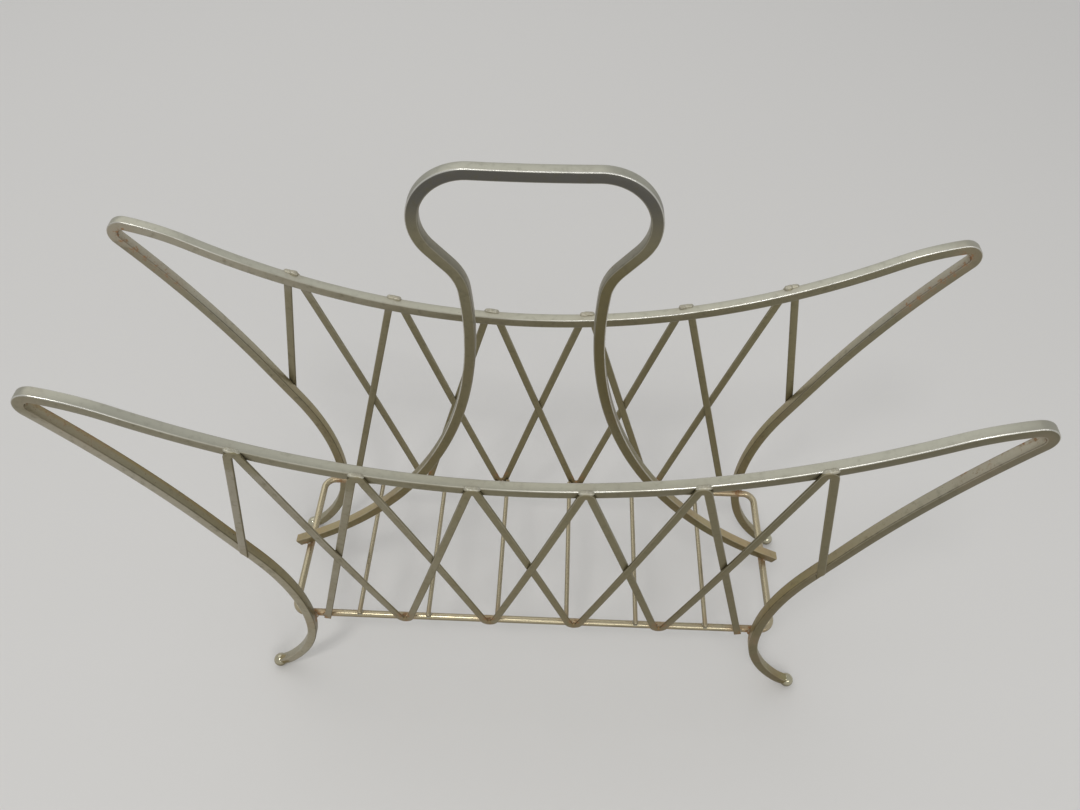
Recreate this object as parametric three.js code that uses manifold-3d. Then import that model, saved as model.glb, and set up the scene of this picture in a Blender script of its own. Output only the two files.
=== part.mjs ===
// Magazine basket: two barred side frames on a shallow base, joined by an arched carry handle.
// +X runs along the basket, +Y to its rear side and +Z up. The origin is the middle of the
// basket on the floor. Lengths are in mm and names that end in _angle are in degrees.
// The front pieces are the rear pieces mirrored in Y, and the right ends mirror the left ends.

import * as THREE from "three";
import { mergeVertices } from "three/addons/utils/BufferGeometryUtils.js";
import Module from "manifold-3d";

const wasm = await Module();
wasm.setup();

// Sizes that all pieces share
const weld_gap = 0.3; // between pieces that the real basket has welded together
const facet_sag = 0.06; // how far a facet may cut inside its arc
const bar_width = 6.35; // square bar of the side frames and the handle
const bar_edge = 0.7; // eased edge of that bar

// Base frame, a ring of round rod
const base_length = 336.6; // between the end rods' centre lines
const base_width = 113.8; // between the long rods' centre lines
const base_height = 79; // from the floor to the rods' centre lines
const base_corner_radius = 8;
const rod_diameter = 5;

// Cross wires, laid over the long rods
const wire_diameter = 3.2;
const wire_pitch = 48.6;
const wire_count = 6;
const wire_end_inset = 0.2; // from the long rod's outer side
const wire_end_chamfer = 0.5;

// Side frames
const frame_lean_angle = 0.7; // outwards from upright
const frame_length = 510.4; // over both tips
const rail_height = 255.3; // top rail's centre line, at mid-length
const rail_rise = 68.7; // from mid-length to a tip bend
const rail_end_radius = 134; // where the rail droops into a tip
const rail_end_angle = 15.4;
const tip_radius = 6.8;
const leg_straight = 41;
const leg_radius = 193; // from the straight down to the base
const leg_inset = 12.7; // from the end rod's centre line
const upper_leg_angle = 12.2; // turn of the slow curve under a tip
const foot_splay = 38.9; // from the leg at the base out to a ball's centre
const toe_radius = 40;
const toe_straight = 4.4;
const toe_turn_angle = 15.4;
const toe_slope_angle = 33;

// Foot balls
const ball_diameter = 10;
const ball_flat_depth = 0.4;

// Lattice strips
const strip_width = 4.8;
const strip_thickness = 1.6;
const top_bend_radius = 2.9; // centre lines of the bends
const bottom_bend_radius = 3.6;
const strip_drop = 0.6; // how far the lower bends pass the rods' centre line
const strip_end_inset = 11.1; // from a leg's centre line to the last strip's foot
const lattice_top_pitch = 61.8;
const strut_end_height = 179; // where the outermost strip meets the leg

// Carry handle
const handle_height = 413.8; // centre line, at mid-length
const grip_length = 60;
const grip_dip_angle = 1.5;
const grip_bend_radius = 27.8;
const grip_bend_angle = 131.2;
const neck_straight = 14.1;
const neck_radius = 30;
const arm_slope_angle = 30.3; // at the arm's lower end
const arm_end_straight = 4.7;
const arm_overhang = 6.6; // past the end rod

const side = { rear: 1, front: -1 };
const end = { left: 1, right: -1 };

const bar_half = bar_width / 2;
const rod_half = rod_diameter / 2;
const wire_half = wire_diameter / 2;
const strip_half = strip_width / 2;
const lean = THREE.MathUtils.degToRad(frame_lean_angle);
const rod_outer_y = base_width / 2 + rod_half;
const rod_top = base_height + rod_half;
const leg_at_rod = base_length / 2 - leg_inset;
const ball_centre_height = ball_diameter / 2 - ball_flat_depth;

// Finds where a function of one angle in degrees changes sign.
function angle_where_zero(value_at, low, high) {
  let from = THREE.MathUtils.degToRad(low);
  let to = THREE.MathUtils.degToRad(high);
  const sign = Math.sign(value_at(from));
  for (let step = 0; step < 60; step++) {
    const middle = (from + to) / 2;
    if (Math.sign(value_at(middle)) === sign) from = middle;
    else to = middle;
  }
  return (from + to) / 2;
}

function chord_between(a, b) {
  const chord = b.clone().sub(a);
  return { heading: Math.atan2(chord.y, chord.x), length: chord.length() };
}

// The radius of an arc that makes a turn over a chord.
function radius_over(chord, turn) {
  return chord.length / (2 * Math.sin(Math.abs(turn) / 2));
}

function unit(heading) {
  return new THREE.Vector2(Math.cos(heading), Math.sin(heading));
}

// The shift along an arc, whose turn is positive to the left.
function arc_shift(radius, heading, turn) {
  const signed_radius = radius * Math.sign(turn);
  return new THREE.Vector2(
    signed_radius * (Math.sin(heading + turn) - Math.sin(heading)),
    signed_radius * (Math.cos(heading) - Math.cos(heading + turn)),
  );
}

// A bent centre line in a plane, as stations with a position and a heading.
class Track {
  constructor(position, heading) {
    this.stations = [{ position: position.clone(), heading }];
  }

  get last() {
    return this.stations[this.stations.length - 1];
  }

  straight(length, count = 1) {
    const { position, heading } = this.last;
    for (let k = 1; k <= count; k++) {
      const shift = unit(heading).multiplyScalar((length * k) / count);
      this.stations.push({ position: position.clone().add(shift), heading });
    }
    return this;
  }

  arc(radius, turn, half_width) {
    const { position, heading } = this.last;
    const widest = radius + half_width;
    const count = Math.ceil(Math.abs(turn) / (2 * Math.acos(1 - facet_sag / widest)));
    for (let k = 1; k <= count; k++) {
      const part = (turn * k) / count;
      const shift = arc_shift(radius, heading, part);
      this.stations.push({ position: position.clone().add(shift), heading: heading + part });
    }
    return this;
  }
}

// Completes a track that starts at mid-length with its own mirror image.
function mirrored_stations(stations) {
  const opposite = stations.slice(1).reverse();
  const left = opposite.map(({ position, heading }) => ({
    position: new THREE.Vector2(-position.x, position.y),
    heading: -heading,
  }));
  return [...left, ...stations];
}

// Places stations in the plane through base that +X and up span.
function frames_in_plane(stations, base, up) {
  const along = new THREE.Vector3(1, 0, 0);
  const normal = along.clone().cross(up);
  return stations.map(({ position, heading }) => ({
    origin: base.clone().addScaledVector(along, position.x).addScaledVector(up, position.y),
    across: new THREE.Vector3()
      .addScaledVector(along, -Math.sin(heading))
      .addScaledVector(up, Math.cos(heading)),
    normal,
  }));
}

function bar_outline() {
  const flat = bar_half - bar_edge;
  return [
    [bar_half, -flat],
    [bar_half, flat],
    [flat, bar_half],
    [-flat, bar_half],
    [-bar_half, flat],
    [-bar_half, -flat],
    [-flat, -bar_half],
    [flat, -bar_half],
  ];
}

function strip_outline() {
  const half_thickness = strip_thickness / 2;
  return [
    [strip_half, -half_thickness],
    [strip_half, half_thickness],
    [-strip_half, half_thickness],
    [-strip_half, -half_thickness],
  ];
}

function rod_outline(sides) {
  return Array.from({ length: sides }, (_, k) => {
    const angle = (2 * Math.PI * k) / sides;
    return [rod_half * Math.cos(angle), rod_half * Math.sin(angle)];
  });
}

function geometry_of(positions, index) {
  return new THREE.BufferGeometry()
    .setAttribute("position", new THREE.Float32BufferAttribute(positions, 3))
    .setIndex(index);
}

// Joins one ring of corners per frame.
function skin(frames, outline, closed) {
  const positions = [];
  const index = [];
  const size = outline.length;
  for (const { origin, across, normal } of frames)
    for (const [u, v] of outline) {
      const corner = origin.clone().addScaledVector(across, u).addScaledVector(normal, v);
      positions.push(...corner.toArray());
    }
  const rings = closed ? frames.length : frames.length - 1;
  for (let ring = 0; ring < rings; ring++) {
    const here = ring * size;
    const next = ((ring + 1) % frames.length) * size;
    for (let k = 0; k < size; k++) {
      const after = (k + 1) % size;
      index.push(here + k, here + after, next + after);
      index.push(here + k, next + after, next + k);
    }
  }
  if (!closed) {
    const tail = (frames.length - 1) * size;
    for (let k = 1; k < size - 1; k++) {
      index.push(0, k + 1, k);
      index.push(tail, tail + k, tail + k + 1);
    }
  }
  return geometry_of(positions, index);
}

function manifold_of(geometry) {
  const bare = new THREE.BufferGeometry()
    .setAttribute("position", geometry.getAttribute("position"))
    .setIndex(geometry.index);
  const merged = mergeVertices(bare);
  return new wasm.Manifold(
    new wasm.Mesh({
      numProp: 3,
      vertProperties: merged.getAttribute("position").array,
      triVerts: new Uint32Array(merged.index.array),
    }),
  );
}

function geometry_of_manifold(solid) {
  const mesh = solid.getMesh();
  return geometry_of(Array.from(mesh.vertProperties), Array.from(mesh.triVerts));
}

// Side frame

// The lean plane holds the bar's centre line: a height above the floor, measured up the lean.
const lean_up = new THREE.Vector3(0, Math.sin(lean), Math.cos(lean));
const frame_y_at_rod = rod_outer_y + weld_gap + bar_half;
const lean_base = new THREE.Vector3(0, frame_y_at_rod, base_height).addScaledVector(
  lean_up,
  -base_height,
);

function up_the_lean(height) {
  return base_height + (height - base_height) / Math.cos(lean);
}

// Half of the rail climbs from mid-length in one long arc and droops into its tip bend.
const rail_end_turn = THREE.MathUtils.degToRad(rail_end_angle);
const tip_reach = frame_length / 2 - bar_half - tip_radius; // to the tip bend's centre

function rail_half(turn) {
  const droop = arc_shift(rail_end_radius, turn, -rail_end_turn);
  const radius = (rail_rise - droop.y) / (1 - Math.cos(turn));
  const reach = radius * Math.sin(turn) + droop.x + tip_radius * Math.sin(turn - rail_end_turn);
  return { radius, droop, reach };
}

const rail_turn = angle_where_zero((turn) => rail_half(turn).reach - tip_reach, 1, 89);
const { radius: rail_radius, droop: rail_droop } = rail_half(rail_turn);
const tip_heading = rail_turn - rail_end_turn;

// The lower leg leaves the base in one arc and ends in a toe at the ball's centre.
const toe_heading = -THREE.MathUtils.degToRad(toe_slope_angle);
const toe_turn = THREE.MathUtils.degToRad(toe_turn_angle);
const ball_in_plane = new THREE.Vector2(leg_at_rod + foot_splay, up_the_lean(ball_centre_height));
const toe_start = ball_in_plane
  .clone()
  .addScaledVector(unit(toe_heading), -toe_straight)
  .sub(arc_shift(toe_radius, toe_heading - toe_turn, toe_turn));
const leg_on_rod = new THREE.Vector2(leg_at_rod, base_height);
const lower_leg = chord_between(leg_on_rod, toe_start);
const lower_leg_end_heading = toe_heading - toe_turn;
const rod_heading = 2 * lower_leg.heading - lower_leg_end_heading;
const lower_leg_turn = lower_leg_end_heading - rod_heading;
const lower_leg_radius = radius_over(lower_leg, lower_leg_turn);

// The upper leg comes out of the tip bend, curves slowly, runs straight and bends to the base.
const upper_leg_turn = THREE.MathUtils.degToRad(upper_leg_angle);

function tip_end(heading) {
  return new THREE.Vector2(0, up_the_lean(rail_height))
    .add(arc_shift(rail_radius, 0, rail_turn))
    .add(rail_droop)
    .add(arc_shift(tip_radius, tip_heading, heading - tip_heading));
}

function upper_leg(straight_heading) {
  const start = tip_end(straight_heading - upper_leg_turn);
  const finish = leg_on_rod
    .clone()
    .sub(arc_shift(leg_radius, straight_heading, rod_heading - straight_heading))
    .addScaledVector(unit(straight_heading), -leg_straight);
  return chord_between(start, finish);
}

const straight_heading = angle_where_zero(
  (heading) => upper_leg(heading).heading - (heading - upper_leg_turn / 2),
  -165,
  -91,
);
const upper_leg_radius = radius_over(upper_leg(straight_heading), upper_leg_turn);

const half_frame = new Track(new THREE.Vector2(0, up_the_lean(rail_height)), 0)
  .arc(rail_radius, rail_turn, bar_half)
  .arc(rail_end_radius, -rail_end_turn, bar_half)
  .arc(tip_radius, straight_heading - upper_leg_turn - tip_heading, bar_half)
  .arc(upper_leg_radius, upper_leg_turn, bar_half)
  .straight(leg_straight)
  .arc(leg_radius, rod_heading - straight_heading, bar_half)
  .arc(lower_leg_radius, lower_leg_turn, bar_half)
  .arc(toe_radius, toe_turn, bar_half)
  .straight(toe_straight);

function point_on_lean(position) {
  return lean_base.clone().add(new THREE.Vector3(position.x, 0, 0)).addScaledVector(lean_up, position.y);
}

function side_frame_geometry() {
  const frames = frames_in_plane(mirrored_stations(half_frame.stations), lean_base, lean_up);
  let bar = manifold_of(skin(frames, bar_outline(), false));
  const seat = new THREE.SphereGeometry(ball_diameter / 2 + weld_gap, 24, 16);
  for (const way of Object.values(end)) {
    const centre = point_on_lean(new THREE.Vector2(-way * ball_in_plane.x, ball_in_plane.y));
    bar = bar.subtract(manifold_of(seat.clone().translate(...centre.toArray())));
  }
  return geometry_of_manifold(bar);
}

// Where the frame's bar lies, for the strips that are welded to it

function rail_centre_height(x) {
  const rise = rail_radius - Math.sqrt(rail_radius ** 2 - x ** 2);
  return rail_height + rise * Math.cos(lean);
}

function frame_outer_y(height) {
  return frame_y_at_rod + (height - base_height) * Math.tan(lean) + bar_half / Math.cos(lean);
}

// The leg's station nearest to a height, between the tip and the toe, with x worked out there.
function leg_at(height) {
  const wanted = up_the_lean(height);
  const stations = half_frame.stations;
  const k = stations.findIndex(
    ({ position }, n) => n > 0 && stations[n - 1].position.y > wanted && position.y <= wanted,
  );
  const [above, below] = [stations[k - 1].position, stations[k].position];
  const share = (above.y - wanted) / (above.y - below.y);
  return { x: THREE.MathUtils.lerp(above.x, below.x, share), heading: chord_between(above, below).heading };
}

// Lattice

const strip_bottom = base_height - strip_drop;
const last_strip_x = leg_at_rod - strip_end_inset;
const lattice_bottom_pitch = (last_strip_x + bottom_bend_radius) / 2.5;
const strip_low_y = rod_outer_y + weld_gap + strip_thickness / 2;
const weave = (strip_thickness + weld_gap) / 2;

function strip_high_y(height) {
  return frame_outer_y(height) + weld_gap + strip_thickness / 2;
}

// The height where a strip that stands at x comes clear of the rail's underside.
function under_rail(x) {
  const slope = Math.asin(x / rail_radius);
  return rail_centre_height(x) - (bar_half + strip_half) / Math.cos(slope);
}

function strip_y(position, over) {
  const top = under_rail(position.x);
  const share = (position.y - rod_top) / (top - rod_top);
  if (share <= 0) return strip_low_y;
  if (share >= 1) return strip_high_y(position.y);
  const straight_y = THREE.MathUtils.lerp(strip_low_y, strip_high_y(top), share);
  return straight_y + over * weave * Math.sin(Math.PI * share);
}

function top_bend(places) {
  const x = places * lattice_top_pitch;
  const height = rail_centre_height(x) + bar_half - top_bend_radius - strip_half;
  return { centre: new THREE.Vector2(x, height), radius: top_bend_radius, turn_side: -1 };
}

function bottom_bend(places) {
  const x = places * lattice_bottom_pitch;
  const height = strip_bottom + bottom_bend_radius + strip_half;
  return { centre: new THREE.Vector2(x, height), radius: bottom_bend_radius, turn_side: 1 };
}

// A zigzag from the left leg to the base near the right leg. Each run but the first crosses
// one run of the other zigzag and lies over (1) or under (-1) it, seen from outside.
function zigzag_geometry(overs) {
  const leg = leg_at(strut_end_height);
  const stops = [
    { centre: new THREE.Vector2(-leg.x, strut_end_height), radius: 0, turn_side: 0 },
    top_bend(-2.5),
    bottom_bend(-1.5),
    top_bend(-0.5),
    bottom_bend(0.5),
    top_bend(1.5),
    { centre: new THREE.Vector2(last_strip_x, strip_bottom), radius: 0, turn_side: 0 },
  ];
  const runs = stops.slice(1).map((stop, k) => {
    const from = stops[k];
    const chord = chord_between(from.centre, stop.centre);
    const offset = stop.turn_side * stop.radius - from.turn_side * from.radius;
    const length = Math.sqrt(chord.length ** 2 - offset ** 2);
    const heading = chord.heading - Math.atan2(offset, length);
    return { length, heading };
  });
  const track = new Track(stops[0].centre, runs[0].heading);
  const over_at = [0];
  runs.forEach((run, k) => {
    const crosses = k > 0;
    track.straight(run.length, crosses ? 14 : 2);
    while (over_at.length < track.stations.length) over_at.push(crosses ? overs[k - 1] : 0);
    const next = runs[k + 1];
    if (next) track.arc(stops[k + 1].radius, next.heading - run.heading, strip_half);
    while (over_at.length < track.stations.length) over_at.push(0);
  });
  const first_bend_x = stops[1].centre.x - top_bend_radius;
  const frames = track.stations.map(({ position, heading }, k) => ({
    origin: new THREE.Vector3(
      position.x,
      position.x < first_bend_x ? strip_high_y(position.y) : strip_y(position, over_at[k]),
      position.y,
    ),
    across: new THREE.Vector3(-Math.sin(heading), 0, Math.cos(heading)),
    normal: new THREE.Vector3(0, -1, 0),
  }));
  // The first end is cut along the leg.
  const cut_heading = Math.PI - leg.heading;
  const sharpness = Math.abs(Math.sin(cut_heading - runs[0].heading));
  const cut = unit(cut_heading).divideScalar(sharpness);
  if (cut.dot(new THREE.Vector2(frames[0].across.x, frames[0].across.z)) < 0) cut.negate();
  frames[0].across = new THREE.Vector3(cut.x, 0, cut.y);
  return skin(frames, strip_outline(), false);
}

// Foot ball, a sphere with a small flat to stand on

function foot_ball_geometry() {
  const radius = ball_diameter / 2;
  const flat_height = ball_flat_depth - radius;
  const first_angle = Math.asin(flat_height / radius);
  const steps = 11;
  const profile = [new THREE.Vector2(0, flat_height)];
  for (let k = 0; k <= steps; k++) {
    const angle = THREE.MathUtils.lerp(first_angle, Math.PI / 2, k / steps);
    const across = k < steps ? radius * Math.cos(angle) : 0;
    profile.push(new THREE.Vector2(across, radius * Math.sin(angle)));
  }
  return new THREE.LatheGeometry(profile, 20).rotateX(Math.PI / 2);
}

// Base

function base_frame_geometry() {
  const [half_x, half_y] = [base_length / 2, base_width / 2];
  const start = new THREE.Vector2(base_corner_radius - half_x, -half_y);
  const track = new Track(start, 0);
  for (const length of [base_length, base_width, base_length, base_width]) {
    track.straight(length - 2 * base_corner_radius);
    track.arc(base_corner_radius, Math.PI / 2, rod_half);
  }
  const stations = track.stations.slice(0, -1); // the last is the first again
  const base = new THREE.Vector3(0, 0, base_height);
  const frames = frames_in_plane(stations, base, new THREE.Vector3(0, 1, 0));
  return skin(frames, rod_outline(12), true);
}

function cross_wire_geometry() {
  const half = rod_outer_y - wire_end_inset;
  const profile = [
    new THREE.Vector2(0, -half),
    new THREE.Vector2(wire_half - wire_end_chamfer, -half),
    new THREE.Vector2(wire_half, wire_end_chamfer - half),
    new THREE.Vector2(wire_half, half - wire_end_chamfer),
    new THREE.Vector2(wire_half - wire_end_chamfer, half),
    new THREE.Vector2(0, half),
  ];
  return new THREE.LatheGeometry(profile, 12);
}

// Carry handle

function handle_geometry() {
  const slope = -THREE.MathUtils.degToRad(arm_slope_angle);
  const dip = THREE.MathUtils.degToRad(grip_dip_angle);
  const bend = THREE.MathUtils.degToRad(grip_bend_angle);
  // The arm's centre line passes square above the end rod's at over_rod.
  const lift = rod_half + weld_gap + bar_half;
  const over_rod = new THREE.Vector2(base_length / 2, base_height).addScaledVector(
    unit(slope + Math.PI / 2),
    lift,
  );
  const arm_finish = over_rod.addScaledVector(unit(slope), -arm_end_straight);
  const top = new Track(new THREE.Vector2(0, handle_height), 0)
    .arc(grip_length / 2 / dip, dip, bar_half)
    .arc(grip_bend_radius, -bend, bar_half)
    .straight(neck_straight);
  const neck = top.last;
  const arm_from = (heading) =>
    neck.position.clone().add(arc_shift(neck_radius, neck.heading, heading - neck.heading));
  const arm_heading = angle_where_zero(
    (heading) => chord_between(arm_from(heading), arm_finish).heading - (heading + slope) / 2,
    THREE.MathUtils.radToDeg(neck.heading) + 1,
    -arm_slope_angle - 1,
  );
  const arm = chord_between(arm_from(arm_heading), arm_finish);
  const arm_turn = slope - arm_heading;
  top
    .arc(neck_radius, arm_heading - neck.heading, bar_half)
    .arc(radius_over(arm, arm_turn), arm_turn, bar_half)
    .straight(arm_end_straight + arm_overhang);
  const upright = new THREE.Vector3(0, 0, 1);
  const frames = frames_in_plane(mirrored_stations(top.stations), new THREE.Vector3(), upright);
  return skin(frames, bar_outline(), false);
}

// Assembly

const plated_bar = { color: 0x8f8a68, roughness: 0.38, metalness: 0.85 };
const plated_rod = { color: 0xb3a983, roughness: 0.32, metalness: 0.85 };

const basket = new THREE.Group();
basket.name = "magazine_basket";

function add(name, geometry, look) {
  const mesh = new THREE.Mesh(geometry, new THREE.MeshStandardMaterial(look));
  mesh.name = name;
  basket.add(mesh);
  return mesh;
}

const side_frame = side_frame_geometry();
const foot_ball = foot_ball_geometry();
const first_zigzag = zigzag_geometry([1, 1, -1, 1, -1]);
const second_zigzag = zigzag_geometry([1, -1, 1, -1, -1]);
const ball_centre = point_on_lean(ball_in_plane);

for (const [side_name, way] of Object.entries(side)) {
  add(`${side_name}_side_frame`, side_frame, plated_bar).scale.set(1, way, 1);
  add(`${side_name}_lattice_first_zigzag`, first_zigzag, plated_bar).scale.set(1, way, 1);
  add(`${side_name}_lattice_second_zigzag`, second_zigzag, plated_bar).scale.set(-1, way, 1);
  for (const [end_name, reach] of Object.entries(end)) {
    const ball = add(`${side_name}_${end_name}_foot_ball`, foot_ball, plated_bar);
    ball.position.set(-reach * ball_centre.x, way * ball_centre.y, ball_centre.z);
  }
}

add("base_frame", base_frame_geometry(), plated_rod);

const cross_wire = cross_wire_geometry();
for (let k = 0; k < wire_count; k++) {
  const wire = add(`base_cross_wire_${k + 1}`, cross_wire, plated_rod);
  wire.position.set((k - (wire_count - 1) / 2) * wire_pitch, 0, rod_top + weld_gap + wire_half);
}

add("carry_handle", handle_geometry(), plated_bar);

export default basket;
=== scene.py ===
"""Magazine basket of welded bar and wire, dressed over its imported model, on a plain stage."""

import cmath
import math
from typing import NamedTuple

import bpy
from mathutils import Matrix, Vector


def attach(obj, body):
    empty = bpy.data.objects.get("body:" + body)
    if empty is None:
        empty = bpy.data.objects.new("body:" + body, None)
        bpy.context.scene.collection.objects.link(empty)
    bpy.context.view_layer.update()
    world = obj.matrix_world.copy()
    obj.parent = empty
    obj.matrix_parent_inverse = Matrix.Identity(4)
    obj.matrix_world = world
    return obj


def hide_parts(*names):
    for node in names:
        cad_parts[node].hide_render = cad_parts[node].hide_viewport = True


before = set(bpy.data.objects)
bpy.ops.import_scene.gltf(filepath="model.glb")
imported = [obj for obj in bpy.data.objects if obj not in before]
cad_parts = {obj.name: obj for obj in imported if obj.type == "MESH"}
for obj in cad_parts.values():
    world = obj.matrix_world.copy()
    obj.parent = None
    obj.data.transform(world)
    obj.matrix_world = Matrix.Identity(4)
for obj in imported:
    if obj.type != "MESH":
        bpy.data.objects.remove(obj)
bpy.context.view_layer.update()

bl_info = {
    "name": "Magazine Basket",
    "version": (1, 0, 0),
    "blender": (4, 5, 0),
    "location": "3D View > Sidebar > Basket",
    "description": "Builds a welded magazine basket and the stage that it stands on",
    "category": "Add Mesh",
}

MM = 0.001
STATION_SPACING = 2.0 * MM
STATION_TURN = math.radians(2.0)
HALVINGS = 50

# The camera at the photograph's viewing angle: degrees to the right, down and rolled, the place
# in millimetres, and the lens and the sensor's width in millimetres.
CAMERA_ANGLES = (-2.130, 50.500, 0.257)
CAMERA_PLACE = (15.39, -330.35, 650.42)
CAMERA_LENS = 28.997
SENSOR_WIDTH = 36.0
NEAR_CLIP = 20 * MM

# Each lamp's place and size in metres. All of them face the basket's foot.
LAMPS = {
    "overhead": ((-0.6, 1.1, 1.7), (2.0, 1.6)),
    "window": ((0.6, -1.6, 1.15), (1.5, 0.4)),
    "ceiling": ((-0.4, -1.0, 2.2), (0.35, 0.35)),
}
FLOOR_HALF = 3.0
FLOOR_CORNERS = ((-1, -1), (1, -1), (1, 1), (-1, 1))

# The ball and the two lumps of the neck behind it, in ball radii: how far back from the ball's
# middle, half the length and half the thickness.
FOOT_LUMPS = ((0.0, 1.0, 1.0), (0.9, 0.9, 0.74), (1.5, 1.2, 0.71))

# Each zigzag's name, its way along, and for each run but the first whether it passes over (1)
# or under (-1) the other zigzag, seen from outside.
WEAVES = (("first", 1, (1, 1, -1, 1, -1)), ("second", -1, (1, -1, 1, -1, -1)))


# Sizes and colours


def number(label, value, about, **more):
    return bpy.props.FloatProperty(name=label, description=about, default=value, **more)


def length(label, millimetres, about):
    return number(label, millimetres * MM, about, min=0.0, unit="LENGTH", precision=5)


def angle(label, degrees, about):
    return number(label, math.radians(degrees), about, subtype="ANGLE")


def share(label, value, about):
    return number(label, value, about, min=0.0, max=1.0, subtype="FACTOR")


def power(label, watts, about):
    return number(label, watts, about, min=0.0, unit="POWER")


def colour(label, value, about):
    return bpy.props.FloatVectorProperty(
        name=label, description=about, default=value, size=3, min=0.0, max=1.0, subtype="COLOR"
    )


class BasketSizes(bpy.types.PropertyGroup):
    """Sizes of the basket. Heights are taken from the floor."""

    weld_gap: length("Weld gap", 0.3, "Room between welded pieces, which a bead of weld fills")
    bar_width: length("Bar width", 6.35, "Square bar of the side frames and the handle")
    bar_edge: length("Bar edge", 0.7, "Radius of the bar's rounded edges")
    base_length: length("Base length", 336.6, "Between the centre lines of the end rods")
    base_width: length("Base width", 113.8, "Between the centre lines of the long rods")
    base_height: length("Base height", 79.0, "Height of the rods' centre lines")
    base_corner_radius: length("Base corner radius", 8.0, "Bend of the rod at a corner")
    rod_diameter: length("Rod diameter", 5.0, "Round rod of the base")
    wire_diameter: length("Wire diameter", 3.2, "Cross wires")
    wire_pitch: length("Wire pitch", 48.6, "From one cross wire to the next")
    wire_count: bpy.props.IntProperty(
        name="Wire count", description="Cross wires", default=6, min=2, subtype="UNSIGNED"
    )
    wire_end_inset: length("Wire end inset", 0.2, "From the outer side of the long rod")
    wire_end_chamfer: length("Wire end chamfer", 0.5, "Worn edge of a wire's end")
    frame_lean: angle("Frame lean", 0.7, "Outward lean of a side frame")
    frame_length: length("Frame length", 510.4, "Over both tips")
    rail_height: length("Rail height", 255.3, "Top rail's centre line at mid-length")
    rail_rise: length("Rail rise", 68.7, "Climb of the rail from mid-length to a tip")
    rail_end_radius: length("Rail end radius", 134.0, "Droop of the rail into a tip")
    rail_end_turn: angle("Rail end turn", 15.4, "Turn of that droop")
    tip_radius: length("Tip radius", 6.8, "Tight bend of a tip, to the centre line")
    leg_straight: length("Leg straight", 41.0, "Straight part of a leg")
    leg_radius: length("Leg radius", 193.0, "Bend of a leg above the base")
    leg_inset: length("Leg inset", 12.7, "From the end rod's centre line to a leg")
    upper_leg_turn: angle("Upper leg turn", 12.2, "Slow curve of a leg under its tip")
    foot_splay: length("Foot splay", 38.9, "From a leg at the base out to its ball")
    toe_radius: length("Toe radius", 40.0, "Upward bend before a ball")
    toe_straight: length("Toe straight", 4.4, "Last straight part before a ball")
    toe_turn: angle("Toe turn", 15.4, "Turn of the toe")
    toe_slope: angle("Toe slope", 33.0, "Slope of a leg at its ball")
    ball_diameter: length("Ball diameter", 10.0, "Foot balls")
    ball_flat_depth: length("Ball flat depth", 0.4, "Worn flat under a ball")
    strip_width: length("Strip width", 4.8, "Flat strip of the lattice")
    strip_thickness: length("Strip thickness", 1.6, "Flat strip of the lattice")
    top_bend_radius: length("Top bend radius", 2.9, "Bend of a strip at the rail")
    bottom_bend_radius: length("Bottom bend radius", 3.6, "Bend of a strip at the base")
    strip_drop: length("Strip drop", 0.6, "From the rods' centre line to a strip's lower edge")
    strip_end_inset: length("Strip end inset", 11.1, "From a leg to the last foot of a strip")
    lattice_top_pitch: length("Lattice top pitch", 61.8, "Between welds along the rail")
    strut_end_height: length("Strut end height", 179.0, "Where the outermost strip meets a leg")
    handle_height: length("Handle height", 413.8, "Grip's centre line at mid-length")
    grip_length: length("Grip length", 60.0, "Straight middle of the grip")
    grip_dip: angle("Grip dip", 1.5, "Rise of the grip at the ends of its middle")
    grip_bend_radius: length("Grip bend radius", 27.8, "Round shoulders of the handle")
    grip_bend: angle("Grip bend", 131.2, "Turn of a shoulder")
    neck_straight: length("Neck straight", 14.1, "Straight part under a shoulder")
    neck_radius: length("Neck radius", 30.0, "Bend from the neck out to the arm")
    arm_slope: angle("Arm slope", 30.3, "Slope of an arm at its lower end")
    arm_end_straight: length("Arm end straight", 4.7, "Straight part before the end rod")
    arm_overhang: length("Arm overhang", 6.6, "Length of an arm past the end rod")


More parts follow.
